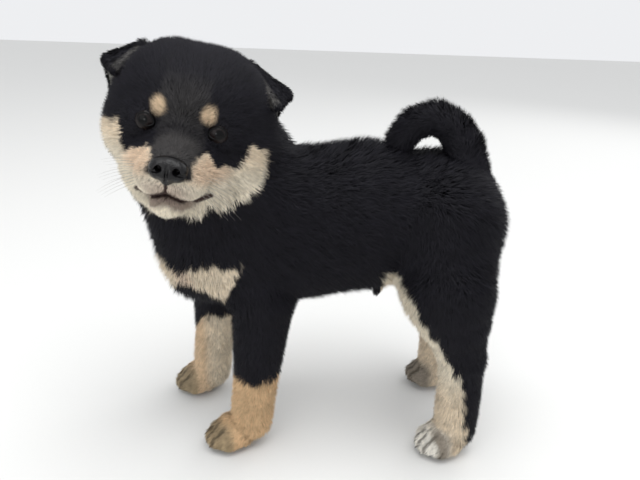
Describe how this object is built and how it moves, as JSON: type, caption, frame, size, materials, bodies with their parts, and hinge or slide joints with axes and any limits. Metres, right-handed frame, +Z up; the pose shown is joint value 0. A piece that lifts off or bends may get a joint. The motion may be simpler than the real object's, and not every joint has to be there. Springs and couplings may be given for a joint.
{
  "type": "shiba inu puppy",
  "caption": "Life-size standing shiba inu puppy, black and tan with cream markings, head turned to its left, folded ears and tail curled over the back.",
  "frame": {"origin": "on the floor, under the middle of the dog's overall box", "axes": "+Z up; the hindquarters face -Y and the dog's left side is towards +X, where the turned head looks"},
  "size_m": [0.1605, 0.2506, 0.2674],
  "materials": {
    "coat_black": "black puppy coat, soft and dense",
    "coat_tan": "tan puppy coat, short and dense",
    "coat_cream": "cream puppy coat, short and dense",
    "nose_leather": "moist pebbled nose skin",
    "eye_dark": "wet dark brown eye",
    "claw_horn": "dark horn"
  },
  "bodies": {
    "root": {"skull": "coat_black", "muzzle": "coat_tan", "lower_jaw": "coat_cream", "nose": "nose_leather", "eye_left": "eye_dark", "eye_right": "eye_dark", "ear_left": "coat_black", "ear_right": "coat_black", "neck": "coat_black", "chest": "coat_black", "barrel": "coat_black", "rump": "coat_black", "tail_base": "coat_black", "tail_middle": "coat_black", "tail_tip": "coat_black", "forearm_left": "coat_black", "pastern_left": "coat_tan", "thigh_left": "coat_black", "shank_left": "coat_black", "hock_left": "coat_tan", "paw_fore_left": "coat_tan", "paw_hind_left": "coat_cream", "forearm_right": "coat_black", "pastern_right": "coat_tan", "thigh_right": "coat_black", "shank_right": "coat_black", "hock_right": "coat_tan", "paw_fore_right": "coat_tan", "paw_hind_right": "coat_cream", "claw_fore_left_1": "claw_horn", "claw_fore_left_2": "claw_horn", "claw_fore_left_3": "claw_horn", "claw_fore_left_4": "claw_horn", "claw_fore_right_1": "claw_horn", "claw_fore_right_2": "claw_horn", "claw_fore_right_3": "claw_horn", "claw_fore_right_4": "claw_horn", "claw_hind_left_1": "claw_horn", "claw_hind_left_2": "claw_horn", "claw_hind_left_3": "claw_horn", "claw_hind_left_4": "claw_horn", "claw_hind_right_1": "claw_horn", "claw_hind_right_2": "claw_horn", "claw_hind_right_3": "claw_horn", "claw_hind_right_4": "claw_horn"}
  },
  "joints": []
}
